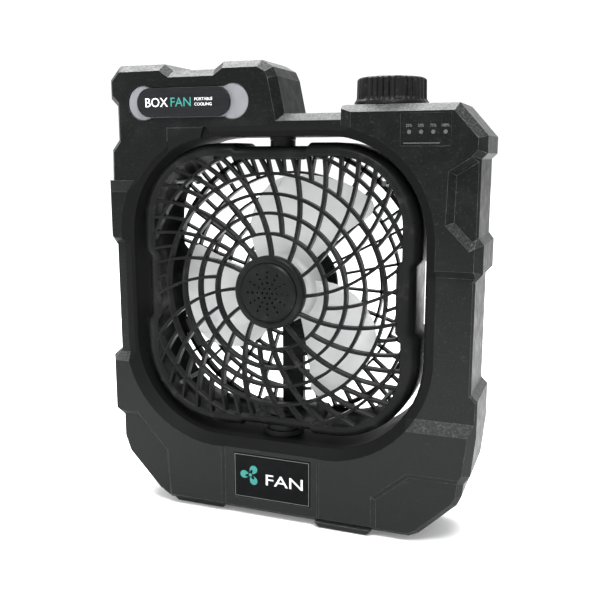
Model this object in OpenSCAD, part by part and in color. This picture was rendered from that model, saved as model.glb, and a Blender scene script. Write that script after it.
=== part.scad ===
// Portable box fan: a two-shell armoured casing with a work lamp, a battery gauge,
// a speed knob and a battery pack, around a square fan head that swivels about a
// vertical axis. Millimetres. +Z is up and -Y is the front. The origin is on the
// floor, below the middle of the casing.

/* [Casing] */
// Width of the casing across its widest bumps
body_w = 239; // [238:1:241]
// Depth of the casing from its front face to its rear face
body_d = 54; // [54:1:56]
// Height of the lamp block at the top left
lamp_block_top = 281.8; // [281:0.2:283]
// Height of the knob block at the top right
knob_block_top = 255; // [254.6:0.2:256]
// Height of the bar between the two blocks
bar_top = 251; // [250.6:0.2:251.6]
// Height of the casing's underside above the floor
base_z = 2.6; // [2.4:0.1:3]
// Thickness of the casing's outer walls
wall = 3; // [2.6:0.1:3.2]
// Width of the chamfer around both faces
chamfer = 4.3; // [4:0.1:4.6]

/* [Fan opening] */
// Sideways position of the fan axis
hub_x = -6.5; // [-7:0.5:-6]
// Height of the fan axis
hub_z = 145.5; // [145:0.5:146]
// Height of the opening's middle
open_z = 144.5; // [144:0.5:145]
// Width of the opening through the casing
open_w = 189; // [188:0.5:190]
// Height of the opening through the casing
open_h = 187.4; // [187:0.2:188]
// Corner radius of the opening
open_r = 60; // [58:1:62]
// Width and depth of the bevel around the opening
bevel = 6; // [5:0.5:6]

/* [Fan head] */
// Width of the swivelling head
head_w = 181.4; // [180:0.2:182]
// Height of the swivelling head
head_h = 178.2; // [177:0.2:179]
// Depth of the swivelling head across its rims
head_d = 40; // [38:1:40]
// Corner radius of the head
head_r = 56; // [54:1:58]
// Radius swept by the blades
blade_r = 76; // [74:0.5:77]
// Number of blades
blades = 3; // [3:1:5]
// Number of grille spokes at the hub, which doubles at the first and fourth rings
spokes = 12; // [10:1:12]

/* [Controls and fittings] */
// Sideways position of the speed knob
knob_x = 61; // [60:0.5:62]
// Radius of the speed knob's grip
knob_r = 20.2; // [19:0.2:20.6]
// Height of the speed knob's top
knob_top = 270.5; // [269:0.5:272]
// Width of the lamp lens
lens_w = 81; // [80:0.5:82]
// Height of the lamp lens between its two round ends
lens_h = 17.8; // [17:0.2:18]
// Radius of the lamp lens's round ends
lens_r = 10.3; // [10:0.1:10.6]
// Number of gauge lights
gauge_lights_count = 4; // [3:1:4]
// Distance between gauge lights
gauge_pitch = 6.6; // [6:0.1:7]
// Radius of one battery cell
cell_r = 9.2; // [9:0.1:9.2]
// Length of one battery cell
cell_l = 65; // [64:1:65]

/* [Hidden] */
$fn = 48;
eps = 0.05;
w2 = body_w / 2;
front_y = -body_d / 2;
step_d = 3;                    // the lamp block and bar lie this far behind the armour
block_y = front_y + step_d;
skin_d = 7;                    // depth of the solid front wall
cavity_y = front_y + skin_d;
panel_d = 4.3;                 // depth of the recessed side panels
open_top = open_z + open_h / 2;
open_floor = open_z - open_h / 2;
head_top = hub_z + head_h / 2;
head_floor = hub_z - head_h / 2;
lamp_x = -59.3;
lamp_z = 258.6;
gauge_x = 77.8;
gauge_z = 239.5;
plate_x = hub_x + 1.5;
plate_z = 27;
plate_w = 52;
plate_h = 30;
pot_top = knob_block_top - wall;
port_x = 80;
port_z = 24;
port_y = -front_y - 1.5;       // the rear corner around the charge port is set back
button_x = -60;
button_z = 258;
button_y = -block_y;           // rear face of the lamp block
board_y = -14;                 // front of the lamp board and the control board
tray_x = hub_x + 1.5;
cell_z = 19.4;
grille_y = -head_d / 2;
screw_spots = [[-96, 34], [98, 34], [-109, 190], [105, 169.5],
               [-103, 271.5], [-16, 271], [46, 246.2], [110, 233]];
board_spots = [[lamp_x - 45, lamp_z], [lamp_x + 45, lamp_z], [73.5, 243.5], [97.5, 234]];
charge_board_spots = [[port_x - 8, port_z + 8], [port_x - 8, port_z - 3]];
switch_spots = [[button_x - 11, button_z], [button_x + 11, button_z]];
corner_screws = [for (sx = [-1, 1], sz = [-1, 1]) [hub_x + sx * 67.6, hub_z + sz * 65.6]];
motor_spots = [for (a = [90, 210, 330]) [hub_x + 11 * cos(a), hub_z + 11 * sin(a)]];
rotor_front = -7;
rotor_back = 15;
rib = 2;                       // width of the grille's ribs
rib_d = 2.6;                   // depth of the grille's ribs
grille_rings = [35.6, 47.8, 59.3, 71.2, 86.5];
cap_r = 18;                    // radius of the hub cap

// Outline of the armour, counter-clockwise as seen from the front. It runs along the
// underside, up the right side and over the knob block, crosses the opening, and comes
// down the left side.
armour_right = [
    [-79, base_z], [82, base_z], [88, 5.5], [110, 26.5], [w2 - 7, 32], [w2 - 6, 40],
    [w2 - 2.5, 45], [w2, 69], [w2, 90], [w2 - 3.8, 93.8], [w2 - 3.8, 158], [w2, 162.5],
    [w2, 178.7], [w2 - 3, 182.6], [w2 - 3, 225], [w2, 228], [w2, 237.5],
    [104, knob_block_top], [38, knob_block_top]];
armour_across = [[38, 150], [-60, 150], [-60, 211.5]];
armour_left = [
    [-w2 + 2, 211.5], [-w2 + 2, 175.5], [-w2 + 6, 170.5], [-w2 + 6, 102], [-w2, 97],
    [-w2, 60], [-w2 + 6, 56], [-w2 + 6, 42], [-w2 + 10, 31], [-87, 7.5]];
armour = concat(armour_right, armour_across, armour_left);

// Chamfer width of each armour edge, and the wide flanks that step down to the bar on
// the right and to the lamp block on the left
armour_edges = concat(
    [for (i = [2 : len(armour_right)]) chamfer],
    [6.5, 0, 0, 7],
    [for (p = armour_left) chamfer]);

// Outline of the lamp block and the bar, counter-clockwise as seen from the front
block = [
    [-116.8, 200], [60, 200], [60, bar_top], [2, bar_top], [-2.5, 272.5], [-5, 277.8],
    [-12, lamp_block_top], [-36.5, lamp_block_top], [-42.7, lamp_block_top - 4.1],
    [-70.5, lamp_block_top - 4.1], [-76.5, lamp_block_top], [-108, lamp_block_top],
    [-115.5, 273.5], [-115.5, 262], [-111, 257.5], [-111, 236.7], [-116, 230.5]];

// ---- shape helpers -------------------------------------------------------------

function every(points, width) = [for (p = points) width];

// Inward normal of the edge from a to b of a counter-clockwise outline
function inward(a, b) = let (d = (b - a) / norm(b - a)) [-d.y, d.x];

// Outline moved inwards, with its own distance for each edge
function inset(points, widths) = [
    for (i = [0 : len(points) - 1])
        let (n = len(points),
             before = (i + n - 1) % n,
             u = inward(points[before], points[i]),
             v = inward(points[i], points[(i + 1) % n]),
             det = u.x * v.y - u.y * v.x)
            points[i] + [(widths[before] * v.y - widths[i] * u.y) / det,
                         (widths[i] * u.x - widths[before] * v.x) / det]];

// Rounded rectangle about a centre, counter-clockwise, with n steps in each corner
function rounded(x, z, w, h, r, n = 14) = [
    for (q = [0 : 3])
        for (i = [0 : n])
            let (a = 90 * q + 90 * i / n,
                 cx = (q == 0 || q == 3) ? w / 2 - r : r - w / 2,
                 cz = (q < 2) ? h / 2 - r : r - h / 2)
                [x + cx + r * cos(a), z + cz + r * sin(a)]];

function opening(grow) = rounded(hub_x, open_z, open_w + 2 * grow, open_h + 2 * grow, open_r + grow);
function head_outline(grow) =
    rounded(hub_x, hub_z, head_w + 2 * grow, head_h + 2 * grow, head_r + grow);

// Solid skinned through outlines of equal length at rising y
module skin(rings, ys) {
    n = len(rings[0]);
    last = (len(rings) - 1) * n;
    polyhedron(
        points = [for (k = [0 : len(rings) - 1]) for (p = rings[k]) [p.x, ys[k], p.y]],
        faces = concat(
            [[for (i = [n - 1 : -1 : 0]) i]],
            [for (k = [0 : len(rings) - 2]) for (i = [0 : n - 1])
                [k * n + i, k * n + (i + 1) % n, (k + 1) * n + (i + 1) % n, (k + 1) * n + i]],
            [[for (i = [0 : n - 1]) last + i]]));
}

// Extrudes a front-view drawing from y0 to y1
module along_y(y0, y1) {
    translate([0, y1, 0]) rotate([90, 0, 0]) linear_extrude(y1 - y0) children();
}

module rod_y(x, z, r, y0, y1) {
    translate([x, y1, z]) rotate([90, 0, 0]) cylinder(r = r, h = y1 - y0);
}

module rod_z(x, r, z0, z1) {
    translate([x, 0, z0]) cylinder(r = r, h = z1 - z0);
}

// Box given by its lowest and highest corners
module block_between(low, high) {
    translate(low) cube(high - low);
}

// Round-ended bar drawn in the front view
module pill(x, z, w, h) {
    translate([x - (w - h) / 2, z - h / 2]) square([w - h, h]);
    for (side = [-1, 1]) translate([x + side * (w - h) / 2, z]) circle(d = h);
}

// Screw along Y with its round head towards +Y, just clear of what it holds
module screw_y(x, z, r, head_r, y_tip, y_head, head_t) {
    rod_y(x, z, r, y_tip, y_head + eps);
    difference() {
        rod_y(x, z, head_r, y_head + 0.02, y_head + head_t);
        for (a = [0, 90])
            translate([x, y_head + head_t, z]) rotate([0, a, 0])
                cube([head_r * 1.2, head_t, head_r * 0.3], center = true);
    }
}

// ---- casing --------------------------------------------------------------------

// Recesses cut into the armour's face, each with sloping flanks
module armour_recesses() {
    y0 = front_y - eps;
    // side panels level with the inner edge of the opening's bevel
    right_panel = [[60, 69.7], [130, 69.7], [130, 164.3], [60, 164.3]];
    skin([right_panel, inset(right_panel, [6.8, 0, 4.3, 0])], [y0, front_y + panel_d]);
    left_panel = [[-130, 94.6], [-60, 94.6], [-60, 175.4], [-130, 175.4]];
    skin([left_panel, inset(left_panel, [5.4, 0, 3, 0])], [y0, front_y + panel_d]);
    // hand pocket on the right shoulder
    pocket = [[99, 189.2], [112.5, 175.4], [122, 181], [130, 184], [130, 233], [118.5, 230.3], [99.8, 218.4]];
    skin([pocket, inset(pocket, [4, 4, 4, 0, 4, 4, 4])], [y0, front_y + panel_d]);
    // lower corners
    right_corner = [[60, -8], [140, -8], [140, 44], [81, 44], [59.5, 25.5]];
    skin([right_corner, inset(right_corner, [0, 0, 3, 3, 3])], [y0, front_y + 1.5]);
    left_corner = [[-140, -8], [-75, -8], [-77.5, 37], [-99.5, 60.5], [-140, 60.5]];
    skin([left_corner, inset(left_corner, [0, 2, 2, 2, 0])], [y0, front_y + 1.5]);
    // middle field around the name plate
    field = [[-39, -8], [27, -8], [27, 60], [-39, 60]];
    skin([field, inset(field, [0, 2, 0, 2])], [y0, front_y + 1.5]);
}

// Armour's outline at some depth behind the front face. The chamfers end at twice
// step_d and the wide flanks at step_d.
function armour_at(depth) = inset(armour, [
    for (w = armour_edges)
        w == chamfer ? w * (1 - depth / (2 * step_d)) : w * max(0, 1 - depth / step_d)]);

// Everything in front of a plane at y
module in_front_of(y) {
    block_between([-body_w, y - 10, -10], [body_w, y, lamp_block_top + 10]);
}

// Raised armour of one half, cut flat at its front face
module armour_half() {
    difference() {
        skin([armour_at(-1), armour_at(step_d), armour_at(2 * step_d), armour],
             [front_y - 1, front_y + step_d, front_y + 2 * step_d, 2]);
        in_front_of(front_y);
        armour_recesses();
    }
}

// Lamp block and bar of one half, cut flat at their front face
module block_half() {
    difference() {
        skin([inset(block, every(block, chamfer * 6.5 / 5.5)), block, block],
             [block_y - 1, block_y + 5.5, 3]);
        in_front_of(block_y);
    }
}

// Front half of the casing without its cavity: y runs from the front face to the seam
module half_casing() {
    difference() {
        union() {
            armour_half();
            block_half();
        }
        skin([opening(bevel + eps), opening(0), opening(0)], [front_y - eps, front_y + bevel, 4]);
        cavity();
        // the seam: nothing lies behind the middle plane
        block_between([-body_w, 0, -10], [body_w, 5, lamp_block_top + 10]);
    }
}

// Hollow between the outer walls and the tunnel around the fan
module cavity() {
    along_y(cavity_y, 4) difference() {
        union() {
            polygon(inset(armour, every(armour, wall)));
            polygon(inset(block, every(block, wall)));
        }
        polygon(opening(wall));
    }
}

// Foot rail under one shell
module foot_rail(x0, x1, y0, y1) {
    along_y(y0, y1)
        polygon([[x0, base_z + 1], [x0 + 3, 0.8], [x1 - 3, 0.8], [x1, base_z + 1]]);
}

// Half bores that hold the two swivel bushes and the potentiometer's neck
module seam_bores() {
    rod_z(hub_x, 8, open_top - 4, open_top + 6);
    rod_z(hub_x, 10, open_floor - 6, open_floor + 4);
    rod_z(knob_x, 3.7, knob_block_top - 6, knob_block_top + 2);
}

// Plate that fills the opening's bevel below the lamp, drawn from a little outside it
module bevel_filler() {
    along_y(block_y, front_y + bevel) difference() {
        polygon([[-73.1, 222], [-52, 222], [-49, 243.4], [-73.1, 243.4]]);
        polygon(opening(0));
    }
}

// Parting groove around the filler plate and the slot at its right end
module filler_grooves() {
    block_between([-73.5, block_y - 1, 230], [-73.1, block_y + 0.35, 243.8]);
    block_between([-73.5, block_y - 1, 243.4], [-49, block_y + 0.35, 243.8]);
    along_y(block_y - 1, block_y + 2)
        polygon([[-51, 236], [-45.5, 236], [-44.5, 241], [-47, 244.4], [-48.6, 244.4]]);
}

module lens_drawing(grow) {
    translate([lamp_x, lamp_z]) {
        square([lens_w - 2 * lens_r, lens_h + 2 * grow], center = true);
        for (side = [-1, 1])
            translate([side * (lens_w / 2 - lens_r), 0]) circle(r = lens_r + grow);
    }
}

module front_shell() {
    color([0.17, 0.18, 0.18]) difference() {
        union() {
            half_casing();
            bevel_filler();
            foot_rail(-77, -38, front_y + 5.5, 0);
            foot_rail(23.5, 60, front_y + 1, 0);
            for (p = screw_spots) rod_y(p.x, p.y, 3.8, cavity_y - 1, -0.2);
            for (p = board_spots) rod_y(p.x, p.y, 2.6, cavity_y - 1, board_y);
        }
        seam_bores();
        for (p = screw_spots) rod_y(p.x, p.y, 1.5, -16, eps);
        for (p = board_spots) rod_y(p.x, p.y, 1.1, cavity_y + 1, board_y + eps);
        along_y(block_y - 1, cavity_y + 1) lens_drawing(0.2);
        filler_grooves();
        // seats of the gauge panel and its light pipes, and of the name plate
        block_between([73, front_y - 1, 232], [100.6, front_y + 0.5, 249.5]);
        for (i = [0 : gauge_lights_count - 1])
            rod_y(gauge_x + i * gauge_pitch, gauge_z, 1.15, front_y, cavity_y + 1);
        block_between([plate_x - plate_w / 2, front_y, plate_z - plate_h / 2],
                      [plate_x + plate_w / 2, front_y + 2.3, plate_z + plate_h / 2]);
    }
}

module rear_shell() {
    color([0.16, 0.17, 0.17]) difference() {
        union() {
            mirror([0, 1, 0]) half_casing();
            for (x = [[-77, -38], [23.5, 60]]) foot_rail(x[0], x[1], 0, -front_y - 3);
            for (p = screw_spots) rod_y(p.x, p.y, 3.8, 0.2, -cavity_y + 1);
            for (p = charge_board_spots) rod_y(p.x, p.y, 2.4, 13.6, -cavity_y + 1);
            for (p = switch_spots) rod_y(p.x, p.y, 2.4, 11.6, -cavity_y + 1);
        }
        seam_bores();
        for (p = screw_spots) {
            rod_y(p.x, p.y, 1.7, -eps, -front_y);
            rod_y(p.x, p.y, 3.3, -front_y - 5, -front_y + eps);
        }
        // charge port and its cover's seat, and the lamp button's hole
        block_between([port_x - 5, -cavity_y - 1, port_z - 2], [port_x + 5, port_y, port_z + 2]);
        block_between([port_x - 9, port_y - 4, port_z - 6], [port_x + 9, port_y + 2, port_z + 6]);
        rod_y(button_x, button_z, 5.2, -cavity_y - 1, button_y + 1);
    }
}

module shell_screws() {
    color([0.25, 0.25, 0.26])
        for (p = screw_spots) screw_y(p.x, p.y, 1.45, 2.9, -14, -front_y - 5, 2);
}

module foot_pads() {
    color([0.06, 0.06, 0.06])
        for (x = [[-72, -43], [29, 54]], y = [[-20, -8], [8, 20]])
            block_between([x[0], y[0], 0], [x[1], y[1], 0.8]);
}

module name_plate() {
    color([0.03, 0.03, 0.03])
        block_between([plate_x - plate_w / 2 + 0.2, front_y + 1.3, plate_z - plate_h / 2 + 0.2],
                      [plate_x + plate_w / 2 - 0.2, front_y + 2.3, plate_z + plate_h / 2 - 0.2]);
}

// ---- work lamp -----------------------------------------------------------------

module lamp_lens() {
    color([0.86, 0.88, 0.88]) {
        along_y(block_y + 0.6, cavity_y + 0.1) lens_drawing(0);
        along_y(cavity_y + 0.05, cavity_y + 1.4) lens_drawing(2);
    }
}

module lamp_badge() {
    color([0.2, 0.21, 0.22])
        along_y(front_y + 0.8, block_y + 0.6) pill(lamp_x - 2, lamp_z, 62.4, 17.2);
}

module lamp_board() {
    color([0.1, 0.32, 0.2]) difference() {
        block_between([lamp_x - 47.5, board_y, lamp_z - 9.5], [lamp_x + 47.5, board_y + 1.6, lamp_z + 6.5]);
        for (p = board_spots) rod_y(p.x, p.y, 1.3, board_y - 1, board_y + 3);
    }
}

module lamp_leds() {
    color([0.93, 0.88, 0.5])
        for (i = [0 : 8], z = [-4.5, 4.5])
            translate([lamp_x + (i - 4) * 9, board_y - 0.5, lamp_z + z]) cube([3.5, 1, 2.8], center = true);
}

module board_screws() {
    color([0.7, 0.7, 0.72])
        for (p = board_spots) screw_y(p.x, p.y, 1.05, 2.4, board_y - 4, board_y + 1.6, 1.4);
}

// ---- battery gauge and speed control ---------------------------------------------

module gauge_panel() {
    color([0.08, 0.09, 0.09]) difference() {
        block_between([73.1, front_y + 0.1, 232.1], [100.5, front_y + 0.5, 249.4]);
        for (i = [0 : gauge_lights_count - 1])
            rod_y(gauge_x + i * gauge_pitch, gauge_z, 1.15, front_y - 1, front_y + 1);
    }
}

module gauge_pipes() {
    color([0.8, 0.82, 0.82])
        for (i = [0 : gauge_lights_count - 1])
            rod_y(gauge_x + i * gauge_pitch, gauge_z, 1.1, front_y, board_y - 1);
}

module control_board() {
    color([0.1, 0.32, 0.2]) difference() {
        union() {
            block_between([70, board_y, 231], [101, board_y + 1.6, 247]);
            for (i = [0 : gauge_lights_count - 1])
                translate([gauge_x + i * gauge_pitch, board_y - 0.45, gauge_z])
                    cube([2, 1, 2], center = true);
        }
        for (p = board_spots) rod_y(p.x, p.y, 1.3, board_y - 1, board_y + 3);
    }
}

module speed_potentiometer() {
    color([0.55, 0.55, 0.57]) difference() {
        union() {
            rod_z(knob_x, 8, 240, pot_top);
            rod_z(knob_x, 3.5, pot_top - eps, knob_block_top + 3);
        }
        rod_z(knob_x, 3.05, 242, knob_block_top + 4);
    }
}

module potentiometer_nut() {
    color([0.75, 0.75, 0.77]) difference() {
        translate([knob_x, 0, knob_block_top]) cylinder(r = 6.5, h = 2.2, $fn = 6);
        rod_z(knob_x, 3.5, knob_block_top - 1, knob_block_top + 4);
    }
}

module knob_shaft() {
    color([0.75, 0.75, 0.77]) rod_z(knob_x, 3, 242.2, knob_top - 4);
}

// Grip with raised ribs in groups, over a hollow skirt and a core around the shaft
module speed_knob() {
    z0 = knob_block_top + 0.4;
    ribs = 36;
    color([0.07, 0.07, 0.07]) difference() {
        union() {
            rod_z(knob_x, knob_r + 1.2, z0, z0 + 2);
            rod_z(knob_x, knob_r - 1, z0, knob_top - 1);
            translate([knob_x, 0, knob_top - 1 - eps])
                cylinder(r1 = knob_r - 1, r2 = knob_r - 2, h = 1 + eps);
            for (i = [0 : ribs - 1])
                if (i % 6 != 5)
                    translate([knob_x, 0, z0 + 1]) rotate(i * 360 / ribs)
                        translate([knob_r - 2, -0.9, 0]) cube([2, 1.8, knob_top - z0 - 2.6]);
        }
        difference() {
            rod_z(knob_x, knob_r - 3, z0 - 1, knob_top - 3);
            rod_z(knob_x, 5, knob_block_top + 3.5, knob_top);
        }
        rod_z(knob_x, 3.03, z0 - 1, knob_top - 4);
    }
}

// ---- battery and charging --------------------------------------------------------

module battery_tray() {
    color([0.12, 0.12, 0.12]) {
        block_between([tray_x - 69, -19.7, 8], [tray_x + 69, 19.7, 9.9]);
        for (side = [-1, 1]) {
            block_between([tray_x - 69, side > 0 ? 18.9 : -19.7, 9.8],
                          [tray_x + 69, side > 0 ? 19.7 : -18.9, 24]);
            block_between([tray_x + side * 68 - 1, -19, 9.8], [tray_x + side * 68 + 1, 19, 24]);
        }
        block_between([tray_x - 0.7, -18.95, 9.8], [tray_x + 0.7, 18.95, 24]);
    }
}

module battery_cells() {
    color([0.15, 0.35, 0.6])
        for (side = [-1, 1], y = [-9.5, 9.5])
            translate([tray_x + side * (1 + cell_l / 2), y, cell_z]) rotate([0, 90, 0])
                cylinder(r = cell_r, h = cell_l, center = true);
}

module cell_links() {
    color([0.8, 0.8, 0.78])
        for (side = [-1, 1])
            translate([tray_x + side * (1.25 + cell_l), 0, cell_z + 1]) cube([0.3, 30, 8], center = true);
}

module charge_board() {
    color([0.1, 0.32, 0.2])
        block_between([port_x - 11, 12, port_z - 6], [port_x + 6, 13.6, port_z + 11]);
}

module charge_socket() {
    color([0.75, 0.75, 0.77]) difference() {
        block_between([port_x - 4.6, 13.6, port_z - 1.7], [port_x + 4.6, port_y - 4.2, port_z + 1.7]);
        block_between([port_x - 4.1, 15, port_z - 1.2], [port_x + 4.1, port_y, port_z + 1.2]);
    }
}

// Rubber cover that hangs from a round bead along its top edge
module port_cover() {
    color([0.05, 0.05, 0.05]) {
        translate([port_x - 8.6, port_y - 0.9, port_z + 4.9]) rotate([0, 90, 0]) cylinder(r = 0.8, h = 17.2);
        block_between([port_x - 8.6, port_y - 2, port_z - 5.6], [port_x + 8.6, port_y - 0.1, port_z + 4.9]);
        block_between([port_x - 3.7, port_y - 3.8, port_z - 0.9],
                      [port_x + 3.7, port_y - 1.95, port_z + 0.9]);
    }
}

// ---- lamp switch -----------------------------------------------------------------

module lamp_switch() {
    color([0.1, 0.32, 0.2])
        block_between([button_x - 14, 10, button_z - 5], [button_x + 14, 11.6, button_z + 5]);
    color([0.1, 0.1, 0.1])
        block_between([button_x - 3, 11.55, button_z - 3], [button_x + 3, 15, button_z + 3]);
}

module lamp_button() {
    color([0.07, 0.07, 0.07]) {
        rod_y(button_x, button_z, 5.1, -cavity_y - 1.4, button_y - 0.4);
        rod_y(button_x, button_z, 6.6, -cavity_y - 3.2, -cavity_y - 1.35);
        rod_y(button_x, button_z, 1.5, 16.2, -cavity_y - 3.15);
    }
}

// ---- swivel ----------------------------------------------------------------------

module top_bush() {
    color([0.85, 0.85, 0.8]) difference() {
        union() {
            rod_z(hub_x, 7.95, open_top - 1.8, open_top + 6.5);
            rod_z(hub_x, 10, open_top + 3.2, open_top + 5);
        }
        rod_z(hub_x, 5.06, open_top - 4, open_top + 7);
    }
}

module bottom_bush() {
    color([0.07, 0.07, 0.07]) difference() {
        union() {
            rod_z(hub_x, 9.95, open_floor - 8, open_floor + 1);
            rod_z(hub_x, 13, open_floor + 0.2, open_floor + 3.2);
        }
        rod_z(hub_x, 6.06, open_floor - 9, open_floor + 6);
    }
}

module top_pivot() {
    color([0.09, 0.09, 0.09]) {
        rod_z(hub_x, 7.7, head_top - 1.9, open_top - 2);
        rod_z(hub_x, 5, head_top - 6.8, open_top + 6);
        rod_z(hub_x, 8, head_top - 6.8, head_top - 4.6);
    }
}

module bottom_pivot() {
    color([0.09, 0.09, 0.09]) difference() {
        union() {
            rod_z(hub_x, 11, open_floor + 3.4, head_floor + 1.9);
            rod_z(hub_x, 6, open_floor - 9, head_floor + 6.8);
            rod_z(hub_x, 8.5, head_floor + 4.6, head_floor + 6.8);
        }
        rod_z(hub_x, 3, open_floor - 10, head_floor + 8);
    }
}

// ---- fan head --------------------------------------------------------------------

// Strip of even width that leaves the hub and swings steadily sideways as it goes out
function strip(r0, r1, start, swing, w, n) =
    let (spine = [for (i = [0 : n])
             let (r = r0 + (r1 - r0) * i / n, a = start + swing * (r - r0)) r * [cos(a), sin(a)]],
         side = [for (i = [0 : n])
             let (d = spine[min(i + 1, n)] - spine[max(i - 1, 0)]) w / 2 * [-d.y, d.x] / norm(d)])
        concat([for (i = [0 : n]) spine[i] - side[i]], [for (i = [n : -1 : 0]) spine[i] + side[i]]);

// Front view of the rings and spokes of one grille. The swing is in degrees per millimetre.
module grille_drawing(swing) {
    lean = swing * (grille_rings[0] - 21);
    last_lean = swing * (grille_rings[3] - 21);
    translate([hub_x, hub_z]) intersection() {
        polygon(rounded(0, 0, head_w - 15.6, head_h - 15.6, head_r - 7.8, 8));
        union() {
            for (r = grille_rings) difference() {
                circle(r = r + rib / 2);
                circle(r = r - rib / 2);
            }
            for (i = [0 : spokes - 1]) {
                first = 27.5 + i * 360 / spokes;
                half = 180 / spokes;
                polygon(strip(21, 106, first, swing, rib, 6));
                polygon(strip(grille_rings[0], 106, first + half + lean, swing, rib, 5));
                for (side = [-half / 2, half / 2])
                    polygon(strip(grille_rings[3], 106, first + side + last_lean, swing, rib, 3));
            }
        }
    }
}

// Finger notch at mid height on both sides of the head, grown by some distance
module side_notches(grow) {
    depth = 3.2;
    for (side = [-1, 1])
        along_y(grille_y - 1, 0.5)
            polygon([for (q = [[1, -24], [1, 22.5], [-depth, 18.5], [-depth, -20]])
                [hub_x + side * (head_w / 2 + q.x - grow), hub_z + q.y + sign(q.y) * grow]]);
}

// Shallow recesses around the pivots in the head's top and bottom edges, grown by some distance
module pivot_recesses(grow) {
    depth = 2;
    for (side = [-1, 1])
        along_y(grille_y - 1, 0.5)
            polygon([for (q = [[-21, 1], [21, 1], [19, -depth], [-19, -depth]])
                [hub_x + q.x + sign(q.x) * grow, hub_z + side * (head_h / 2 + q.y - grow)]]);
}

// Rim of one head half: a square tunnel with a rounded front edge and bosses for the
// corner screws
module head_rim() {
    skin([head_outline(-7.7), head_outline(-4.6), head_outline(-1.9), head_outline(0), head_outline(0)],
         [grille_y, grille_y + 1.2, grille_y + 4, grille_y + 9, -0.1]);
    for (p = corner_screws) rod_y(p.x, p.y, 5.5, grille_y + 4, -0.1);
}

module head_hollow() {
    skin([head_outline(-9.8), head_outline(-7.2), head_outline(-3.6), head_outline(-3.2)],
         [grille_y - eps, grille_y + 3, grille_y + 9, 0.05]);
}

module pivot_bores() {
    rod_z(hub_x, 5.05, head_top - 6, head_top + 1);
    rod_z(hub_x, 6.05, head_floor - 1, head_floor + 6);
}

module grille_half(swing) {
    difference() {
        head_rim();
        difference() {
            head_hollow();
            for (p = corner_screws) rod_y(p.x, p.y, 5.5, grille_y + 4, 1);
            // thicker walls behind the finger notches and the recesses
            side_notches(2.4);
            pivot_recesses(2.4);
        }
        side_notches(0);
        pivot_recesses(0);
        pivot_bores();
    }
    along_y(grille_y, grille_y + rib_d) grille_drawing(swing);
}

module front_grille() {
    color([0.1, 0.105, 0.105]) difference() {
        union() {
            grille_half(0.39);
            rod_y(hub_x, hub_z, 22.4, -25.4, grille_y + 2);
        }
        rod_y(hub_x, hub_z, cap_r + 0.1, -26, -23.4);
        rod_y(hub_x, hub_z, cap_r - 2, -23.5, grille_y + 3);
        for (p = corner_screws) rod_y(p.x, p.y, 1.5, -16, 1);
    }
}

module rear_grille() {
    color([0.1, 0.105, 0.105]) difference() {
        union() {
            mirror([0, 1, 0]) grille_half(0);
            rod_y(hub_x, hub_z, 30, -grille_y - rib_d, -grille_y);
            // cable duct from the motor down to the hollow pivot
            block_between([hub_x - 7.5, -grille_y - 3.6, head_floor + 7.5], [hub_x + 7.5, -grille_y, hub_z - 20]);
        }
        for (p = corner_screws) {
            rod_y(p.x, p.y, 1.7, -1, 21);
            rod_y(p.x, p.y, 3.2, 16, 21);
        }
        for (p = motor_spots) rod_y(p.x, p.y, 1.3, 17, 21);
    }
}

// Perforated cap over the middle of the front grille
module hub_cap() {
    color([0.08, 0.085, 0.085]) difference() {
        union() {
            rod_y(hub_x, hub_z, cap_r, -25.6, -23.4);
            translate([hub_x, -25.6, hub_z]) rotate([90, 0, 0]) cylinder(r1 = cap_r, r2 = cap_r - 1.2, h = 1);
        }
        for (i = [0 : 11], k = [2 : 4])
            rotate_about_hub(i * 30, 3.2 * k) rod_y(0, 0, 0.75, -28, -22, $fn = 8);
        for (i = [0 : 5])
            rotate_about_hub(i * 60, 3.2) rod_y(0, 0, 0.75, -28, -22, $fn = 8);
        rod_y(hub_x, hub_z, 0.75, -28, -22, $fn = 8);
    }
}

module rotate_about_hub(angle, r) {
    translate([hub_x + r * cos(angle), 0, hub_z + r * sin(angle)]) children();
}

module motor() {
    color([0.55, 0.56, 0.58]) difference() {
        union() {
            rod_y(hub_x, hub_z, 17, 4, 17.3);
            rod_y(hub_x, hub_z, 6, 2, 4.1);
        }
        rod_y(hub_x, hub_z, 2.55, 1, 14);
        for (p = motor_spots) rod_y(p.x, p.y, 1.1, 12, 18);
    }
}

module motor_screws() {
    color([0.75, 0.75, 0.77])
        for (p = motor_spots) screw_y(p.x, p.y, 1.05, 2.3, 13, 20, 1.2);
}

module grille_screws() {
    color([0.25, 0.25, 0.26])
        for (p = corner_screws) screw_y(p.x, p.y, 1.45, 2.8, -14, 16, 2);
}

// ---- rotor -----------------------------------------------------------------------

// Screw-shaped blades about a cup that reaches back over the motor
module fan_blades() {
    cup_r = 22.4;
    blade_front = rotor_front + 6;
    blade_back = rotor_back - 0.5;
    sweep = 68;
    color([0.82, 0.83, 0.83]) {
        difference() {
            union() {
                rod_y(hub_x, hub_z, cup_r, rotor_front + 2, rotor_back);
                translate([hub_x, rotor_front + 2 + eps, hub_z]) rotate([90, 0, 0])
                    cylinder(r1 = cup_r, r2 = cup_r - 2, h = 2 + eps);
            }
            rod_y(hub_x, hub_z, 2.5, rotor_front - 1, rotor_back + 1);
            difference() {
                rod_y(hub_x, hub_z, cup_r - 2.4, rotor_front + 2.4, rotor_back + 1);
                rod_y(hub_x, hub_z, 5, rotor_front + 1, 1.5);
            }
        }
        translate([hub_x, blade_back, hub_z]) rotate([90, 0, 0])
            for (i = [0 : blades - 1])
                rotate(72 - sweep / 2 + i * 360 / blades)
                    linear_extrude(height = blade_back - blade_front, twist = -sweep, slices = 10)
                        polygon([[cup_r - 1, -1.5], [blade_r, -4.4], [blade_r, 4.4], [cup_r - 1, 1.5]]);
    }
}

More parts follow.
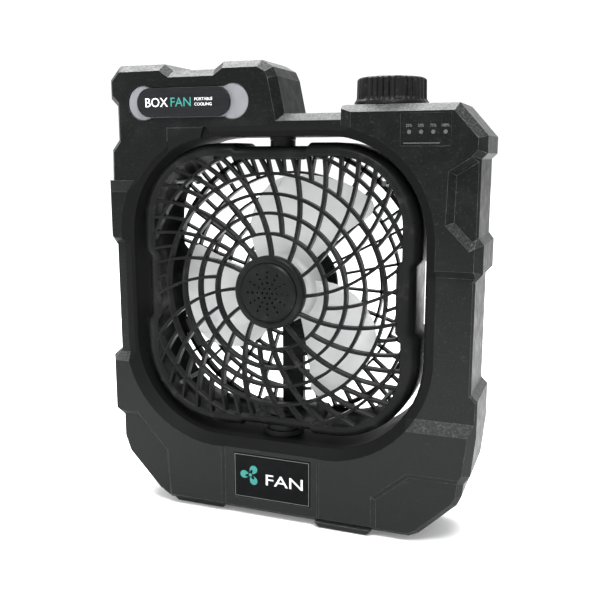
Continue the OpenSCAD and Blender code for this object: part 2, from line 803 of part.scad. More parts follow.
module motor_shaft() {
    color([0.8, 0.8, 0.82]) rod_y(hub_x, hub_z, 2.5, rotor_front - 4.5, 13.6);
}

module blade_nut() {
    color([0.8, 0.8, 0.82]) difference() {
        translate([hub_x, rotor_front, hub_z]) rotate([90, 0, 0]) cylinder(r = 5.5, h = 3.5, $fn = 6);
        rod_y(hub_x, hub_z, 2.5, rotor_front - 6, rotor_front + 1);
    }
}

front_shell();
rear_shell();
shell_screws();
foot_pads();
name_plate();
lamp_lens();
lamp_badge();
lamp_board();
lamp_leds();
board_screws();
gauge_panel();
gauge_pipes();
control_board();
speed_potentiometer();
potentiometer_nut();
battery_tray();
battery_cells();
cell_links();
charge_board();
charge_socket();
lamp_switch();
top_bush();
bottom_bush();
front_grille();
rear_grille();
hub_cap();
top_pivot();
bottom_pivot();
motor();
motor_screws();
grille_screws();
fan_blades();
motor_shaft();
blade_nut();
speed_knob();
knob_shaft();
lamp_button();
port_cover();
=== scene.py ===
"""Looks of the portable box fan.

Metres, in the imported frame: +Z is up and -Y is the front. The casing shells and the small
fittings keep their CAD shape and get rounded edges. The two grilles, the rotor, the knob
and the printed marks are modelled here, on the places that the CAD nodes give."""

import math

import bmesh
import bpy
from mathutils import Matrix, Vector


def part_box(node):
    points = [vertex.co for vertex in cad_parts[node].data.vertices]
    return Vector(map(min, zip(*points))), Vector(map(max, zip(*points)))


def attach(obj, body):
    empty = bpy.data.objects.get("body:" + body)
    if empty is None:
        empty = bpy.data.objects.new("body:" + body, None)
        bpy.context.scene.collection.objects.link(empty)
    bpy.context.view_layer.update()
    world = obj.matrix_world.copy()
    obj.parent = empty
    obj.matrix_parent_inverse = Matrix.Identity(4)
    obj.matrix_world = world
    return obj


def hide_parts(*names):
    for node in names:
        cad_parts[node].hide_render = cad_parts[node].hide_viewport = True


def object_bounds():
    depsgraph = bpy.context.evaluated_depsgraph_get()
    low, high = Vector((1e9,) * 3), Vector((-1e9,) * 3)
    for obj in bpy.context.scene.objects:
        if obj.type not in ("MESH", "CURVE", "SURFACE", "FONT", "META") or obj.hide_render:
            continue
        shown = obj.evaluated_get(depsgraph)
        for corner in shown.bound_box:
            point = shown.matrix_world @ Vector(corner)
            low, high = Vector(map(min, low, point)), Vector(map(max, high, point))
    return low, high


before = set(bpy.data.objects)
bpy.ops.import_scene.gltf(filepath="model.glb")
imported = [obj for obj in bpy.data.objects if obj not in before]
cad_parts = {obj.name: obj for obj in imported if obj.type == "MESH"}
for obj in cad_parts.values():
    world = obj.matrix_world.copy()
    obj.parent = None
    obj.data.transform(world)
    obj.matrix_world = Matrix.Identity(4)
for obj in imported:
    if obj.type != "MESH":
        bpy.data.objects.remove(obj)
cad_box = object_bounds()

MM = 0.001


# ---- places taken from the frame ---------------------------------------------------


def middle(node):
    low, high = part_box(node)
    return (low + high) / 2


def half_width(node):
    low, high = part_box(node)
    return (high.x - low.x) / 2


AXIS = middle("motor_shaft")  # the fan's axis runs along Y through this point
HEAD_LOW, HEAD_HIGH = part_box("front_grille")
HEAD_W = HEAD_HIGH.x - HEAD_LOW.x
HEAD_H = HEAD_HIGH.z - HEAD_LOW.z
HEAD_CORNER = 52.5 * MM
RIM_FRONT = -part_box("rear_grille")[1].y  # the rims are mirror images about y = 0
HUB_FRONT = HEAD_LOW.y

# the casing's opening: width, height, corner radius, height of its middle, and its bevel
OPEN_W, OPEN_H, OPEN_CORNER = 189 * MM, 187.4 * MM, 60 * MM
OPEN_Z = 144.5 * MM
BEVEL = 6 * MM


# ---- materials -----------------------------------------------------------------------


class Finish:
    """One procedural material: a Principled shader with textures built up step by step."""

    def __init__(self, name, color, roughness, metallic=0.0, specular=0.5):
        self.material = bpy.data.materials.new(name)
        self.material.use_nodes = True
        self.nodes = self.material.node_tree.nodes
        self.links = self.material.node_tree.links
        self.shader = self.nodes["Principled BSDF"]
        self.color = (*color, 1)
        self.roughness = roughness
        self.shader.inputs["Metallic"].default_value = metallic
        self.shader.inputs["Specular IOR Level"].default_value = specular
        self.shader.inputs["Base Color"].default_value = self.color
        self.shader.inputs["Roughness"].default_value = roughness
        self.place = self.nodes.new("ShaderNodeTexCoord").outputs["Object"]
        self.height = None

    def noise(self, size, detail=2.0, stretch=(1, 1, 1), roughness=0.5):
        """Noise whose features are about size metres across."""
        mapping = self.nodes.new("ShaderNodeMapping")
        mapping.inputs["Scale"].default_value = stretch
        self.links.new(self.place, mapping.inputs["Vector"])
        noise = self.nodes.new("ShaderNodeTexNoise")
        noise.inputs["Scale"].default_value = 1 / size
        noise.inputs["Detail"].default_value = detail
        noise.inputs["Roughness"].default_value = roughness
        self.links.new(mapping.outputs["Vector"], noise.inputs["Vector"])
        return noise.outputs["Fac"]

    def cells(self, size):
        """Distance to the nearest of points that lie about size metres apart."""
        cells = self.nodes.new("ShaderNodeTexVoronoi")
        cells.inputs["Scale"].default_value = 1 / size
        self.links.new(self.place, cells.inputs["Vector"])
        return cells.outputs["Distance"]

    def spread(self, value, low, high, start=0.3, end=0.7):
        """Maps a value's range from start to end onto low to high."""
        node = self.nodes.new("ShaderNodeMapRange")
        node.inputs["From Min"].default_value = start
        node.inputs["From Max"].default_value = end
        node.inputs["To Min"].default_value = low
        node.inputs["To Max"].default_value = high
        self.links.new(value, node.inputs["Value"])
        return node.outputs["Result"]

    def tint(self, value, other, start=0.35, end=0.65):
        """Blends the base colour towards other as value goes from start to end."""
        # a Mix node's sockets 6 and 7 take its two colours, and its output 2 is their blend
        mix = self.nodes.new("ShaderNodeMix")
        mix.data_type = "RGBA"
        self.links.new(self.spread(value, 0, 1, start, end), mix.inputs["Factor"])
        socket = self.shader.inputs["Base Color"]
        if socket.is_linked:
            self.links.new(socket.links[0].from_socket, mix.inputs[6])
        else:
            mix.inputs[6].default_value = self.color
        mix.inputs[7].default_value = (*other, 1)
        self.links.new(mix.outputs[2], socket)

    def sheen_change(self, value, amount):
        """Varies the roughness by amount either way."""
        low, high = self.roughness - amount, self.roughness + amount
        self.links.new(self.spread(value, low, high), self.shader.inputs["Roughness"])

    def bump(self, value, depth):
        """Raises the surface by up to depth metres where value is high."""
        node = self.nodes.new("ShaderNodeBump")
        node.inputs["Strength"].default_value = 1
        node.inputs["Distance"].default_value = depth
        self.links.new(value, node.inputs["Height"])
        if self.height is not None:
            self.links.new(self.height, node.inputs["Normal"])
        self.height = node.outputs["Normal"]
        self.links.new(self.height, self.shader.inputs["Normal"])

    def distance_from_core(self, centre, half, corner):
        """Front view distance from the core of a rounded square. It is corner on the outline."""
        vector = self.place
        steps = (
            ("SUBTRACT", (centre[0], 0, centre[1])), ("ABSOLUTE", None),
            ("SUBTRACT", (half[0] - corner, 0, half[1] - corner)), ("MAXIMUM", (0, 0, 0)),
            ("MULTIPLY", (1, 0, 1)),
        )
        for operation, value in steps:
            node = self.nodes.new("ShaderNodeVectorMath")
            node.operation = operation
            self.links.new(vector, node.inputs[0])
            if value is not None:
                node.inputs[1].default_value = value
            vector = node.outputs["Vector"]
        length = self.nodes.new("ShaderNodeVectorMath")
        length.operation = "LENGTH"
        self.links.new(vector, length.inputs[0])
        return length.outputs["Value"]

    def set(self, **values):
        """Sets other shader sockets, given with underscores for spaces."""
        for name, value in values.items():
            self.shader.inputs[name.replace("_", " ")].default_value = value


def moulded_plastic(name, color, roughness, grain, grain_depth, rub=1.4):
    """Textured plastic: a fine grain, uneven sheen, and paler rubbed patches."""
    f = Finish(name, color, roughness, specular=0.07)
    rubbed = [min(1, c * rub + 0.004) for c in color]
    f.tint(f.noise(18 * MM, detail=5), rubbed, 0.5, 0.8)
    f.sheen_change(f.noise(6 * MM, detail=4), 0.07)
    f.bump(f.noise(grain, detail=3, roughness=0.6), grain_depth)
    return f


def painted_tunnel_shade(f):
    """Painted shade: makes the opening's bevel and tunnel darker, where little light falls, and more
    matt than the armour around it.
    """
    away = f.distance_from_core((AXIS.x, OPEN_Z), (OPEN_W / 2, OPEN_H / 2), OPEN_CORNER)
    inner = OPEN_CORNER + BEVEL - 0.1 * MM
    outer = OPEN_CORNER + BEVEL + 0.1 * MM
    f.tint(away, (0.004, 0.0042, 0.0042), outer, inner)
    # a Mix node's sockets 2 and 3 take two numbers, and its output 0 is their blend
    mix = f.nodes.new("ShaderNodeMix")
    f.links.new(f.spread(away, 1, 0, inner, outer), mix.inputs["Factor"])
    rough = f.shader.inputs["Roughness"]
    f.links.new(rough.links[0].from_socket, mix.inputs[2])
    mix.inputs[3].default_value = 0.6
    f.links.new(mix.outputs[0], rough)


def painted_floor_bounce(f, color):
    """Painted light from below: the colour grows paler towards the floor, as if lit by light thrown
    up from the floor.
    """
    height = f.nodes.new("ShaderNodeSeparateXYZ")
    f.links.new(f.place, height.inputs["Vector"])
    f.tint(height.outputs["Z"], color, 0.21, 0.06)


def painted_top_highlight(f, color, speckle):
    """Painted highlight: paler colour on faces that look upwards, where the light from above falls,
    gathered into speckles by the grain.
    """
    facing = f.nodes.new("ShaderNodeSeparateXYZ")
    place = f.nodes.new("ShaderNodeTexCoord")
    f.links.new(place.outputs["Normal"], facing.inputs["Vector"])
    f.tint(facing.outputs["Z"], color, 0.2, 0.9)
    gather = f.nodes.new("ShaderNodeMath")
    gather.operation = "MULTIPLY"
    f.links.new(facing.outputs["Z"], gather.inputs[0])
    f.links.new(f.noise(1.3 * MM, detail=2, roughness=0.7), gather.inputs[1])
    f.tint(gather.outputs["Value"], speckle, 0.25, 0.55)


def casing_plastic():
    f = moulded_plastic("casing_plastic", (0.0032, 0.0037, 0.0036), 0.42, 0.8 * MM, 0.06 * MM)
    # painted floor bounce: paler towards the floor
    painted_floor_bounce(f, (0.0135, 0.0148, 0.0145))
    # pale grain tips
    f.tint(f.noise(1.5 * MM, detail=3, roughness=0.8), (0.022, 0.024, 0.0235), 0.56, 0.74)
    # painted highlight on the upward faces, speckled by the grain
    painted_top_highlight(f, (0.024, 0.0255, 0.025), (0.085, 0.088, 0.087))
    # faint handling scuffs, longer along X than across
    f.tint(f.noise(3 * MM, detail=6, stretch=(0.4, 1, 1)), (0.03, 0.032, 0.032), 0.66, 0.85)
    # painted shade in the opening's bevel and tunnel
    painted_tunnel_shade(f)
    return f.material


def casing_edges():
    """Edges of the casing, paler and smoother than its faces: the paleness is partly rubbed wear and
    partly a painted highlight along the edges.
    """
    # pale edge colour: partly rubbed wear, partly painted edge highlight
    f = moulded_plastic("casing_edges", (0.04, 0.042, 0.042), 0.36, 0.8 * MM, 0.03 * MM)
    f.tint(f.noise(4 * MM, detail=5), (0.11, 0.115, 0.113), 0.5, 0.7)
    # painted highlight on the upward faces, speckled by the grain
    painted_top_highlight(f, (0.07, 0.073, 0.071), (0.15, 0.155, 0.153))
    # painted shade in the opening's bevel and tunnel
    painted_tunnel_shade(f)
    return f.material


def grille_plastic():
    f = moulded_plastic("grille_plastic", (0.005, 0.0054, 0.0052), 0.34, 0.5 * MM, 0.01 * MM)
    f.tint(f.noise(9 * MM, detail=4), (0.02, 0.02, 0.0185), 0.6, 0.8)
    return f.material


def knob_plastic():
    f = moulded_plastic("knob_plastic", (0.006, 0.006, 0.0064), 0.36, 0.4 * MM, 0.03 * MM)
    f.tint(f.noise(3 * MM, detail=5), (0.028, 0.028, 0.029), 0.6, 0.8)
    return f.material


def black_rubber():
    f = moulded_plastic("black_rubber", (0.012, 0.012, 0.012), 0.75, 0.3 * MM, 0.03 * MM, rub=2)
    f.tint(f.noise(2 * MM, detail=6), (0.03, 0.03, 0.029), 0.6, 0.85)
    return f.material


def inner_plastic():
    return moulded_plastic("inner_plastic", (0.02, 0.02, 0.02), 0.55, 0.6 * MM, 0.03 * MM).material


def bush_plastic():
    return moulded_plastic("bush_plastic", (0.016, 0.016, 0.0155), 0.38, 1.2 * MM, 0.02 * MM).material


def lens_plastic():
    """Frosted lens: pale, with a soft inner glow and a fine cellular frosting."""
    f = Finish("lens_plastic", (0.16, 0.164, 0.176), 0.34, specular=0.3)
    f.tint(f.noise(14 * MM, detail=2), (0.14, 0.144, 0.155))
    f.sheen_change(f.noise(2 * MM), 0.05)
    f.bump(f.cells(1.1 * MM), 0.015 * MM)
    f.set(Coat_Weight=0.3, Coat_Roughness=0.15, Subsurface_Weight=0.2, Subsurface_Scale=0.002)
    return f.material


def badge_plate():
    """Satin plate with a fine lengthwise brushing."""
    f = Finish("badge_plate", (0.006, 0.0066, 0.007), 0.4, specular=0.1)
    f.tint(f.noise(0.6 * MM, detail=3, stretch=(0.03, 1, 1)), (0.009, 0.0096, 0.0102))
    f.sheen_change(f.noise(8 * MM, detail=3), 0.06)
    f.bump(f.noise(0.35 * MM, stretch=(0.05, 1, 1)), 0.004 * MM)
    return f.material


def name_plate_black():
    """Black printed label."""
    f = Finish("name_plate_black", (0.0026, 0.0028, 0.003), 0.45, specular=0.05)
    f.tint(f.noise(7 * MM, detail=4), (0.004, 0.0043, 0.0046))
    f.sheen_change(f.noise(3 * MM, detail=4), 0.05)
    f.bump(f.noise(1.2 * MM), 0.006 * MM)
    return f.material


def blade_plastic():
    """Pale satin plastic with faint flow marks and a little dust."""
    f = Finish("blade_plastic", (0.84, 0.85, 0.85), 0.38)
    f.tint(f.noise(25 * MM, detail=3), (0.79, 0.8, 0.8))
    f.tint(f.noise(1.5 * MM, detail=6), (0.7, 0.7, 0.68), 0.62, 0.85)
    f.sheen_change(f.noise(5 * MM, detail=4), 0.06)
    f.bump(f.noise(0.8 * MM), 0.01 * MM)
    return f.material


def ink(name, color):
    """Screen-printed ink with a slightly broken edge."""
    f = Finish(name, color, 0.45)
    f.tint(f.noise(0.7 * MM, detail=4), [c * 0.75 for c in color], 0.55, 0.8)
    f.bump(f.noise(0.3 * MM), 0.004 * MM)
    return f.material


def metal(name, color, roughness, grain=0.5 * MM):
    """Turned or plated metal with fine machining marks and dulled patches."""
    f = Finish(name, color, roughness, metallic=1.0)
    f.tint(f.noise(2.5 * MM, detail=5), [c * 0.6 for c in color], 0.5, 0.8)
    f.sheen_change(f.noise(1.5 * MM, detail=4), 0.08)
    f.bump(f.noise(grain, stretch=(1, 0.1, 1)), 0.008 * MM)
    return f.material


def circuit_board():
    """Solder mask with copper tracks showing through it."""
    f = Finish("circuit_board", (0.012, 0.11, 0.05), 0.3)
    f.tint(f.cells(3 * MM), (0.03, 0.2, 0.09), 0.45, 0.5)
    f.tint(f.noise(0.8 * MM), (0.35, 0.3, 0.12), 0.68, 0.7)
    f.sheen_change(f.noise(3 * MM), 0.05)
    f.bump(f.cells(3 * MM), 0.02 * MM)
    return f.material


def led_phosphor():
    f = Finish("led_phosphor", (0.75, 0.6, 0.12), 0.35)
    f.tint(f.noise(0.6 * MM), (0.85, 0.8, 0.5))
    f.bump(f.noise(0.4 * MM), 0.01 * MM)
    return f.material


def light_pipe():
    f = Finish("light_pipe", (0.06, 0.064, 0.066), 0.3)
    f.tint(f.noise(0.8 * MM), (0.04, 0.042, 0.044))
    f.bump(f.noise(0.4 * MM), 0.01 * MM)
    return f.material


def cell_wrap():
    """Shrink wrap with shallow wrinkles across the cell."""
    f = Finish("cell_wrap", (0.02, 0.09, 0.3), 0.28)
    f.tint(f.noise(8 * MM, detail=3), (0.03, 0.12, 0.36))
    f.sheen_change(f.noise(4 * MM), 0.06)
    f.bump(f.noise(3 * MM, detail=4, stretch=(1, 0.3, 0.3)), 0.08 * MM)
    return f.material


def floor_white():
    """White sweep that glows a little, and more so farther away, so no horizon shows."""
    f = Finish("floor_white", (0.8, 0.8, 0.8), 0.6, specular=0.2)
    f.tint(f.noise(0.3), (0.79, 0.79, 0.793))
    reach = f.nodes.new("ShaderNodeVectorMath")
    reach.operation = "LENGTH"
    f.links.new(f.place, reach.inputs[0])
    f.set(Emission_Color=(1, 1, 1, 1))
    # the glow grows from 0.1 to 0.8 between 0.15 and 1 metre from the middle of the floor
    glow = f.spread(reach.outputs["Value"], 0.1, 0.8, 0.15, 1.0)
    f.links.new(glow, f.shader.inputs["Emission Strength"])
    return f.material


CASING = casing_plastic()
EDGES = casing_edges()
GRILLE = grille_plastic()
KNOB = knob_plastic()
RUBBER = black_rubber()
INNER = inner_plastic()
BUSH = bush_plastic()
LENS = lens_plastic()
BADGE = badge_plate()
PLATE = name_plate_black()
BLADES = blade_plastic()
SCREW = metal("black_screw", (0.09, 0.09, 0.095), 0.38)
STEEL = metal("bright_steel", (0.4, 0.4, 0.415), 0.3)
MOTOR = metal("motor_can", (0.42, 0.43, 0.45), 0.34, grain=0.8 * MM)
BOARD = circuit_board()
LED = led_phosphor()
PIPE = light_pipe()
CELL = cell_wrap()
WHITE_INK = ink("white_ink", (0.75, 0.77, 0.77))
TEAL_INK = ink("teal_ink", (0.012, 0.19, 0.165))
GREY_INK = ink("grey_ink", (0.09, 0.092, 0.095))

NODE_FINISH = {
    CASING: ["front_shell", "rear_shell", "gauge_panel"],
    SCREW: ["shell_screws", "grille_screws"],
    RUBBER: ["foot_pads", "lamp_button", "port_cover"],
    PLATE: ["name_plate"],
    LENS: ["lamp_lens"],
    BADGE: ["lamp_badge"],
    BOARD: ["lamp_board", "control_board", "charge_board", "lamp_switch"],
    LED: ["lamp_leds"],
    PIPE: ["gauge_pipes"],
    STEEL: [
        "board_screws", "speed_potentiometer", "potentiometer_nut", "cell_links",
        "charge_socket", "motor_screws", "motor_shaft", "blade_nut", "knob_shaft",
    ],
    INNER: ["battery_tray"],
    CELL: ["battery_cells"],
    BUSH: ["top_bush", "bottom_bush", "top_pivot", "bottom_pivot"],
    GRILLE: ["hub_cap"],
    MOTOR: ["motor"],
}


# ---- mesh helpers ----------------------------------------------------------------------


def piece_from(bm, name, body, finish, crease=40):
    """Turns a bmesh into a piece that rides on body, shaded smooth below the crease angle."""
    bmesh.ops.remove_doubles(bm, verts=bm.verts, dist=1e-7)
    bmesh.ops.recalc_face_normals(bm, faces=bm.faces)
    mesh = bpy.data.meshes.new(name)
    bm.to_mesh(mesh)
    bm.free()
    mesh.shade_smooth()
    mesh.set_sharp_from_angle(angle=math.radians(crease))
    mesh.materials.append(finish)
    obj = bpy.data.objects.new(name, mesh)
    bpy.context.scene.collection.objects.link(obj)
    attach(obj, body)
    return obj


def round_edges(obj, width, segments=2, merge=0.12 * MM, edge_slot=-1):
    """Rounds the sharp edges of a CAD node, whose faces come unjoined. The flats stay flat."""
    weld = obj.modifiers.new("weld", "WELD")
    weld.merge_threshold = merge
    flat = obj.modifiers.new("flat", "DECIMATE")
    flat.decimate_type = "DISSOLVE"
    flat.angle_limit = math.radians(1)
    bevel = obj.modifiers.new("bevel", "BEVEL")
    bevel.width = width
    bevel.segments = segments
    bevel.limit_method = "ANGLE"
    bevel.angle_limit = math.radians(9)
    bevel.material = edge_slot
    normals = obj.modifiers.new("normals", "WEIGHTED_NORMAL")
    normals.weight = 100
    obj.data.shade_smooth()


def bridge(bm, ring_a, ring_b, closed=True):
    """Quads between two rows of vertices."""
    n = len(ring_a)
    for i in range(n if closed else n - 1):
        j = (i + 1) % n
        bm.faces.new((ring_a[i], ring_a[j], ring_b[j], ring_b[i]))


def lathe(bm, centre, profile, close=False):
    """Turns a profile of (radius, y) points about the Y axis through centre."""
    steps = 64
    rings = []
    for r, y in profile:
        if r == 0:
            rings.append([bm.verts.new((centre.x, y, centre.z))])
            continue
        turn = [2 * math.pi * i / steps for i in range(steps)]
        rings.append([
            bm.verts.new((centre.x + r * math.cos(a), y, centre.z + r * math.sin(a))) for a in turn
        ])
    pairs = list(zip(rings, rings[1:]))
    if close:
        pairs.append((rings[-1], rings[0]))
    for a, b in pairs:
        if len(a) == 1:
            for i in range(steps):
                bm.faces.new((a[0], b[i], b[(i + 1) % steps]))
        elif len(b) == 1:
            for i in range(steps):
                bm.faces.new((a[i], b[0], a[(i + 1) % steps]))
        else:
            bridge(bm, a, b)


def rib(bm, path, width, depth, closed=False):
    """A moulded rib along a path on its outer face, drafted towards its inner face.

    A rib that faces the front has chamfered edges. One that faces the back, whose depth is
    negative, has edges that stand out by the same amount."""
    chamfer, draft = 0.3 * MM, 0.15 * MM
    half = width / 2
    section = [
        (-half + chamfer, 0), (half - chamfer, 0), (half, chamfer),
        (half - draft, depth), (-half + draft, depth), (-half, chamfer),
    ]
    rings = []
    n = len(path)
    for i, point in enumerate(path):
        if closed:
            along = path[(i + 1) % n] - path[i - 1]
        else:
            along = path[min(i + 1, n - 1)] - path[max(i - 1, 0)]
        side = Vector((along.z, 0, -along.x)).normalized()
        rings.append([bm.verts.new(point + side * u + Vector((0, v, 0))) for u, v in section])
    for a, b in zip(rings, rings[1:]):
        bridge(bm, a, b)
    if closed:
        bridge(bm, rings[-1], rings[0])
    else:
        bm.faces.new(rings[0])
        bm.faces.new(rings[-1])


# ---- fan head --------------------------------------------------------------------------

HUB_R = 22.4 * MM
RIB_W = 1.9 * MM
RING_R = [35.6 * MM, 47.8 * MM, 59.3 * MM, 71.2 * MM, 86.5 * MM]
LIP = 5.9 * MM  # how far the rim's rounded front edge reaches in
SIDE_LIP = 1.3  # it reaches in this many times as far at the sides
CORNER_LIP = 1.5  # and the corner's radius shrinks by this many times as much
SWIRL = math.radians(0.39) / MM  # how fast a spoke turns as it goes out
FIRST_SPOKE = math.radians(27.5)

# depth and ends of the finger notches in both sides, and of the recess at the top pivot
NOTCH, NOTCH_LOW, NOTCH_HIGH = 3.2 * MM, -24 * MM, 22.5 * MM
RECESS, RECESS_LEFT, RECESS_RIGHT = 2 * MM, -26 * MM, 23 * MM


def head_size(grow):
    """Half width, half height and corner radius of the head's outline, offset by grow."""
    return HEAD_W / 2 + grow * SIDE_LIP, HEAD_H / 2 + grow, HEAD_CORNER + grow * CORNER_LIP


def head_outline(grow):
    """The head's outline offset by grow, as (x, z) points, with its notches and recesses."""
    steps = 14  # in each corner
    hx, hz, r = head_size(grow)
    notch_line = [
        (hx, NOTCH_LOW), (hx - NOTCH, NOTCH_LOW + 4 * MM),
        (hx - NOTCH, NOTCH_HIGH - 4 * MM), (hx, NOTCH_HIGH),
    ]
    recess_line = [
        (RECESS_RIGHT, hz), (RECESS_RIGHT - 2 * MM, hz - RECESS),
        (RECESS_LEFT + 2 * MM, hz - RECESS), (RECESS_LEFT, hz),
    ]
    sides = (
        notch_line,
        recess_line,
        [(-x, z) for x, z in reversed(notch_line)],
        [(-x, -z) for x, z in recess_line],
    )
    points = []
    for quarter in range(4):
        points += sides[quarter]
        cx = (hx - r) * (1 if quarter in (0, 3) else -1)
        cz = (hz - r) * (1 if quarter < 2 else -1)
        for i in range(steps + 1):
            a = math.pi / 2 * (quarter + i / steps)
            points.append((cx + r * math.cos(a), cz + r * math.sin(a)))
    return [(AXIS.x + x, AXIS.z + z) for x, z in points]


def inside_rim(place):
    """True if a place, seen from the front, lies inside the rim's lip."""
    hx, hz, r = head_size(-LIP - 1.4 * MM)
    x, z = place.x - AXIS.x, place.z - AXIS.z
    if NOTCH_LOW < z < NOTCH_HIGH:
        hx -= NOTCH
    # the recess at the bottom pivot is the top one turned by half a turn
    across = x if z > 0 else -x
    if RECESS_LEFT < across < RECESS_RIGHT:
        hz -= RECESS
    return math.hypot(max(0, abs(x) - (hx - r)), max(0, abs(z) - (hz - r))) < r


def dome(r, rim_y, bulge):
    """Y of the front grille's outer face, which bulges forward from the last ring inwards."""
    return rim_y - bulge * max(0, 1 - (r / RING_R[-1]) ** 2)


def head_rim(bm, side):
    """Rim of one head half. side is 1 for the front half and -1 for the rear half."""
    front = RIM_FRONT
    # (y, offset of the outline): the outside to the rounded lip, then back along the inside
    profile = [(-0.05 * MM, 0)]
    for i in range(9):
        a = math.pi / 2 * i / 8
        profile.append((front + 9 * MM * (1 - math.sin(a)), -LIP * (1 - math.cos(a))))
    profile += [
        (front, -LIP - 1.5 * MM), (front + 0.5 * MM, -LIP - 2.1 * MM),
        (front + 3 * MM, -LIP - 1 * MM), (front + 6 * MM, -6 * MM), (front + 10 * MM, -4 * MM),
        (-0.05 * MM, -3.2 * MM),
    ]
    rings = []
    for y, grow in profile:
        rings.append([bm.verts.new((x, side * y, z)) for x, z in head_outline(grow)])
    for a, b in zip(rings, rings[1:] + rings[:1]):
        bridge(bm, a, b)


def grille_ribs(bm, side, width, depth, bulge, rim_y, last_width=RIB_W, swirl=0.0):
    """Rings and spokes of one grille. Spokes double in number at the first and fourth rings.

    side is 1 for the front grille and -1 for the rear one, which is drawn mirrored."""

    def at(r, angle):
        y = side * dome(r, rim_y, bulge)
        return Vector((AXIS.x + r * math.cos(angle), y, AXIS.z + r * math.sin(angle)))

    for r in RING_R[:4]:
        rib(bm, [at(r, 2 * math.pi * i / 96) for i in range(96)], width, side * depth, closed=True)
    # the last ring shows only in the head's four corners
    for corner in range(4):
        arc = [at(RING_R[4], math.pi / 2 * (corner + i / 60)) for i in range(61)]
        shown = [i for i, place in enumerate(arc) if inside_rim(place)]
        rib(bm, arc[shown[0] - 1:shown[-1] + 2], last_width, side * depth)
    # how many, where they start, and by what share of 30 degrees the first one is turned
    spokes = ((12, HUB_R - 1.5 * MM, 0), (12, RING_R[0], 0.5), (24, RING_R[3], 0.25))
    for count, start, share in spokes:
        for i in range(count):
            first = FIRST_SPOKE + math.radians(30 * share) + 2 * math.pi * i / count
            path = []
            r = start
            step = 3 * MM
            # the steps get shorter near the rim, so that the spoke ends within its lip
            while step > 0.1 * MM:
                place = at(r, first + swirl * (r - HUB_R))
                if inside_rim(place):
                    path.append(place)
                else:
                    r -= step
                    step /= 2
                r += step
            rib(bm, path, width, side * depth)


def front_basket():
    """Front rim, ribs and the dish that holds the hub cap, in one moulding."""
    bm = bmesh.new()
    head_rim(bm, 1)
    grille_ribs(bm, 1, RIB_W, 5 * MM, 4.4 * MM, RIM_FRONT + 0.2 * MM, swirl=SWIRL)
    cap_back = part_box("hub_cap")[1].y
    cap_r = half_width("hub_cap") + 0.25 * MM
    dish_r = 16 * MM
    face = HUB_FRONT
    lathe(bm, AXIS, [
        (dish_r, face + 7.5 * MM), (HUB_R - 1 * MM, face + 7.5 * MM),
        (HUB_R, face + 6 * MM), (HUB_R, face + 1.6 * MM),
        (HUB_R - 0.4 * MM, face + 0.8 * MM), (HUB_R - 1.4 * MM, face + 0.2 * MM),
        (cap_r + 0.7 * MM, face), (cap_r, face + 0.4 * MM),
        (cap_r, cap_back), (dish_r, cap_back),
    ], close=True)
    basket = piece_from(bm, "front_basket", "head", GRILLE)
    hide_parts("front_grille")


def rear_basket():
    """Rear rim and ribs, with the motor's plate and the cable duct below it."""
    bm = bmesh.new()
    head_rim(bm, -1)
    grille_ribs(bm, -1, 1.7 * MM, 3.8 * MM, 0.0, RIM_FRONT + 0.1 * MM, last_width=3 * MM)
    back = -RIM_FRONT
    plate_r = 30 * MM
    lathe(bm, AXIS, [
        (0, back - 2.6 * MM), (plate_r, back - 2.6 * MM), (plate_r, back - 0.5 * MM),
        (plate_r - 0.5 * MM, back), (0, back),
    ])
    # the duct runs down from under the plate's edge, just below its face
    duct = [Vector((AXIS.x, back - 0.15 * MM, AXIS.z - r * MM)) for r in range(29, 81, 17)]
    rib(bm, duct, 15 * MM, -3.4 * MM)
    basket = piece_from(bm, "rear_basket", "head", GRILLE)
    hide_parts("rear_grille")


# ---- rotor -----------------------------------------------------------------------------

CUP_R = 22.4 * MM
CUP_WALL = 2.4 * MM
SHAFT_HOLE_R = 2.6 * MM
BLADE_HALF_T = 0.8 * MM
BLADE_CAMBER = 1.4 * MM
TIP_FALL = 7.5 * MM  # how much shorter the blade is at its forward edge
TIP_ROUND = 6 * MM  # how far the corners of the tip are rounded back


def rotor():
    """Three broad cambered blades around a cup with a rounded shoulder."""
    low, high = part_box("fan_blades")
    front, back = low.y, high.y
    bm = bmesh.new()
    lathe(bm, AXIS, [
        (SHAFT_HOLE_R, front), (CUP_R - 4 * MM, front), (CUP_R - 1.9 * MM, front + 0.5 * MM),
        (CUP_R - 0.6 * MM, front + 1.9 * MM), (CUP_R, front + 4 * MM), (CUP_R, back),
        (CUP_R - CUP_WALL, back), (CUP_R - CUP_WALL, front + CUP_WALL),
        (SHAFT_HOLE_R, front + CUP_WALL),
    ], close=True)
    tip = high.z - AXIS.z
    for k in range(3):
        blade(bm, 2 * math.pi * k / 3, tip, front + 5.5 * MM, back - 0.6 * MM)
    piece = piece_from(bm, "rotor_blades", "rotor", BLADES)
    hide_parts("fan_blades")


